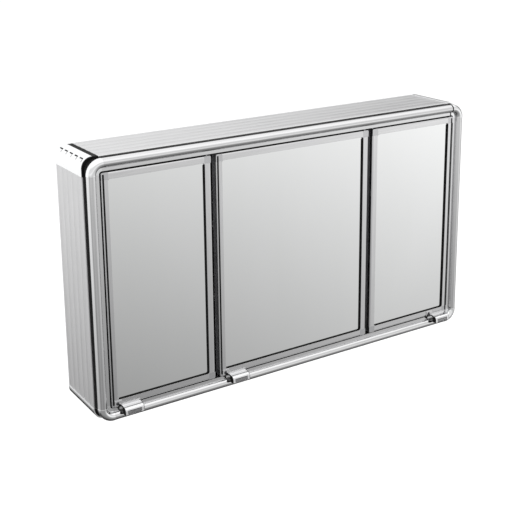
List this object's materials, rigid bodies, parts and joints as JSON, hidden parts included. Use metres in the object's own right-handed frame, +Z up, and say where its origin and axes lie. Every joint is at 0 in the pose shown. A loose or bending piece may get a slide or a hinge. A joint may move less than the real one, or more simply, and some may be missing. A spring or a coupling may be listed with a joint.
{
  "type": "medicine cabinet",
  "caption": "Wall-hung medicine cabinet with framed mirror doors on upright hinges, fluted aluminium outer panels, a half-round front frame with chromed corners, and small finger pulls.",
  "frame": {"origin": "centre of the rear face, in the plane of the wall", "axes": "+X to the right of a person who faces the doors, +Y out of the rear face into the wall, +Z up; the doors face -Y"},
  "size_m": [0.7516, 0.1345, 0.4296],
  "materials": {
    "anodised_aluminium": "satin anodised, fine lengthwise grain",
    "chrome": "bright polished",
    "dark_profile": "dark anodised",
    "grey_plastic": "light grey, half gloss",
    "black_plastic": "matt black",
    "black_rubber": "matt black",
    "white_plastic": "white, half gloss",
    "mirror_glass": "silvered float glass",
    "backing_board": "white board",
    "zinc_steel": "zinc plated",
    "pull_metal": "brushed, nickel plated"
  },
  "bodies": {
    "cabinet": {"panel_left": "anodised_aluminium", "panel_right": "anodised_aluminium", "panel_top": "anodised_aluminium", "panel_bottom": "anodised_aluminium", "cap_top_left": "chrome", "cap_top_right": "chrome", "cap_bottom_left": "chrome", "cap_bottom_right": "chrome", "corner_connectors": "black_plastic", "seal_strips": "black_plastic", "rail_left": "anodised_aluminium", "rail_right": "anodised_aluminium", "rail_top": "anodised_aluminium", "rail_bottom": "anodised_aluminium", "elbow_top_left": "chrome", "elbow_top_right": "chrome", "elbow_bottom_left": "chrome", "elbow_bottom_right": "chrome", "back_panel": "white_plastic", "hanger_plates": "zinc_steel", "divider_left": "white_plastic", "divider_right": "white_plastic", "mullions": "dark_profile", "shelves_left": "white_plastic", "shelves_middle": "white_plastic", "shelves_right": "white_plastic", "shelf_brackets": "grey_plastic", "magnet_catches": "black_plastic", "hinge_bushes": "black_plastic"},
    "left_door": {"door_left_stiles": "anodised_aluminium", "door_left_rails": "anodised_aluminium", "door_left_corner_joints": "grey_plastic", "door_left_mirror": "mirror_glass", "door_left_backing": "backing_board", "door_left_seals": "black_rubber", "door_left_hinge_pins": "zinc_steel", "door_left_pull": "pull_metal", "door_left_pull_screw": "zinc_steel", "door_left_striker": "zinc_steel"},
    "middle_door": {"door_middle_stiles": "anodised_aluminium", "door_middle_rails": "anodised_aluminium", "door_middle_corner_joints": "grey_plastic", "door_middle_mirror": "mirror_glass", "door_middle_backing": "backing_board", "door_middle_seals": "black_rubber", "door_middle_hinge_pins": "zinc_steel", "door_middle_pull": "pull_metal", "door_middle_pull_screw": "zinc_steel", "door_middle_striker": "zinc_steel"},
    "right_door": {"door_right_stiles": "anodised_aluminium", "door_right_rails": "anodised_aluminium", "door_right_corner_joints": "grey_plastic", "door_right_mirror": "mirror_glass", "door_right_backing": "backing_board", "door_right_seals": "black_rubber", "door_right_hinge_pins": "zinc_steel", "door_right_pull": "pull_metal", "door_right_pull_screw": "zinc_steel", "door_right_striker": "zinc_steel"}
  },
  "joints": [
    {"name": "left_door_hinge", "type": "hinge", "parent": "cabinet", "child": "left_door", "pos_m": [-0.16805, -0.113, 0], "axis": [0, 0, 1], "range_deg": [0, 90]},
    {"name": "middle_door_hinge", "type": "hinge", "parent": "cabinet", "child": "middle_door", "pos_m": [0.15005, -0.113, 0], "axis": [0, 0, 1], "range_deg": [0, 85]},
    {"name": "right_door_hinge", "type": "hinge", "parent": "cabinet", "child": "right_door", "pos_m": [0.16805, -0.113, 0], "axis": [0, 0, -1], "range_deg": [0, 85]}
  ]
}
